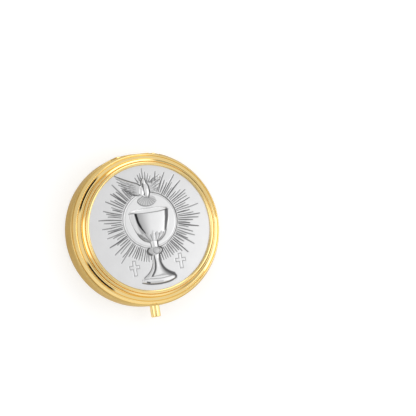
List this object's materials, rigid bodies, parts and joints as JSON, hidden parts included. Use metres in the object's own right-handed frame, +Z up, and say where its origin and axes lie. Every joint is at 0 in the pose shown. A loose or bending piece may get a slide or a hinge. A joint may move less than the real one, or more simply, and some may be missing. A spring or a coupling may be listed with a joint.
{
  "type": "pyx",
  "caption": "Round gilt pocket case for communion hosts: satin base, polished hinged lid with a silver chalice medallion, and a spring push button that frees the lid's catch.",
  "frame": {"origin": "middle of the flat underside of the base", "axes": "+Z up out of the lid's picture, +Y towards the hinge, -Y towards the push button, +X to the right of the picture"},
  "size_m": [0.054, 0.058, 0.0162],
  "materials": {
    "satin_gilt": "gold plate with a fine satin grain around the wall",
    "polished_gilt": "mirror-polished gold plate",
    "gilt_lining": "bright gold plate inside the case",
    "plain_brass": "plain machined brass",
    "spring_steel": "bright spring wire",
    "silver_plate": "stamped, silver-plated relief with darkened hollows",
    "packing_card": "grey-brown packing card"
  },
  "bodies": {
    "base": {"base_shell": "satin_gilt", "inner_cup": "gilt_lining", "rim_ring": "gilt_lining", "base_hinge_leaf": "polished_gilt", "hinge_pin": "plain_brass", "button_bush": "plain_brass", "spring_seat": "plain_brass", "return_spring": "spring_steel"},
    "lid": {"lid_shell": "polished_gilt", "lid_liner": "gilt_lining", "lid_hinge_leaf": "polished_gilt", "striker": "plain_brass", "bezel_ring": "polished_gilt", "medallion_backing": "packing_card", "medallion": "silver_plate"},
    "button": {"push_button": "polished_gilt", "catch": "plain_brass"}
  },
  "joints": [
    {"name": "lid_hinge", "type": "hinge", "parent": "base", "child": "lid", "pos_m": [0, 0.0255, 0.01045], "axis": [-1, 0, 0], "range_deg": [0, 110]},
    {"name": "button_press", "type": "slide", "parent": "base", "child": "button", "axis": [0, 1, 0], "range_m": [0, 0.0009], "stiffness_N_per_m": 800, "springref_m": -0.001, "deforming": ["return_spring"]}
  ]
}
